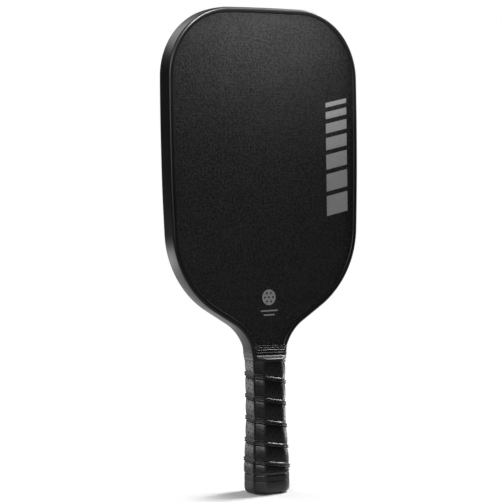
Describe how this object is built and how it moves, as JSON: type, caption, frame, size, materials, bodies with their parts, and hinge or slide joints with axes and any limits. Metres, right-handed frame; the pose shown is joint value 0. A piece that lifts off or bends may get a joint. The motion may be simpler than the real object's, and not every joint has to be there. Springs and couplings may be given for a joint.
{
  "type": "pickleball paddle",
  "caption": "Hard flat-faced pickleball paddle: honeycomb blade between carbon skins, black edge guard, short eight-sided handle with a ridged perforated wrap and a rounded butt cap.",
  "frame": {"origin": "centre of the flat bottom of the butt cap", "axes": "+Z from the butt cap up the handle to the top of the head, +X across the face, -Y out of the printed front face"},
  "size_m": [0.1904, 0.0328, 0.4191],
  "materials": {
    "core_plastic": "natural polypropylene, matt",
    "bond_resin": "clear amber adhesive",
    "carbon_face": "raw peel-ply carbon, fine woven texture",
    "grey_ink": "matt printed ink",
    "guard_plastic": "satin black moulded edging",
    "mounting_tape": "double-sided tape",
    "shell_plastic": "moulded, matt",
    "cap_plastic": "satin black moulded",
    "staple_steel": "zinc-plated wire",
    "wrap_leatherette": "soft perforated synthetic leather",
    "tape_film": "thin stretchy tape, satin"
  },
  "bodies": {
    "root": {"honeycomb_core": "core_plastic", "front_bond_film": "bond_resin", "back_bond_film": "bond_resin", "front_face_sheet": "carbon_face", "back_face_sheet": "carbon_face", "front_side_mark": "grey_ink", "back_side_mark": "grey_ink", "front_throat_mark": "grey_ink", "back_throat_mark": "grey_ink", "edge_guard": "guard_plastic", "guard_tape": "mounting_tape", "front_handle_shell": "shell_plastic", "back_handle_shell": "shell_plastic", "front_shell_glue": "bond_resin", "back_shell_glue": "bond_resin", "butt_cap": "cap_plastic", "cap_staples": "staple_steel", "wrap_staple": "staple_steel", "grip_backing": "mounting_tape", "grip_wrap": "wrap_leatherette", "finishing_tape": "tape_film"}
  },
  "joints": []
}
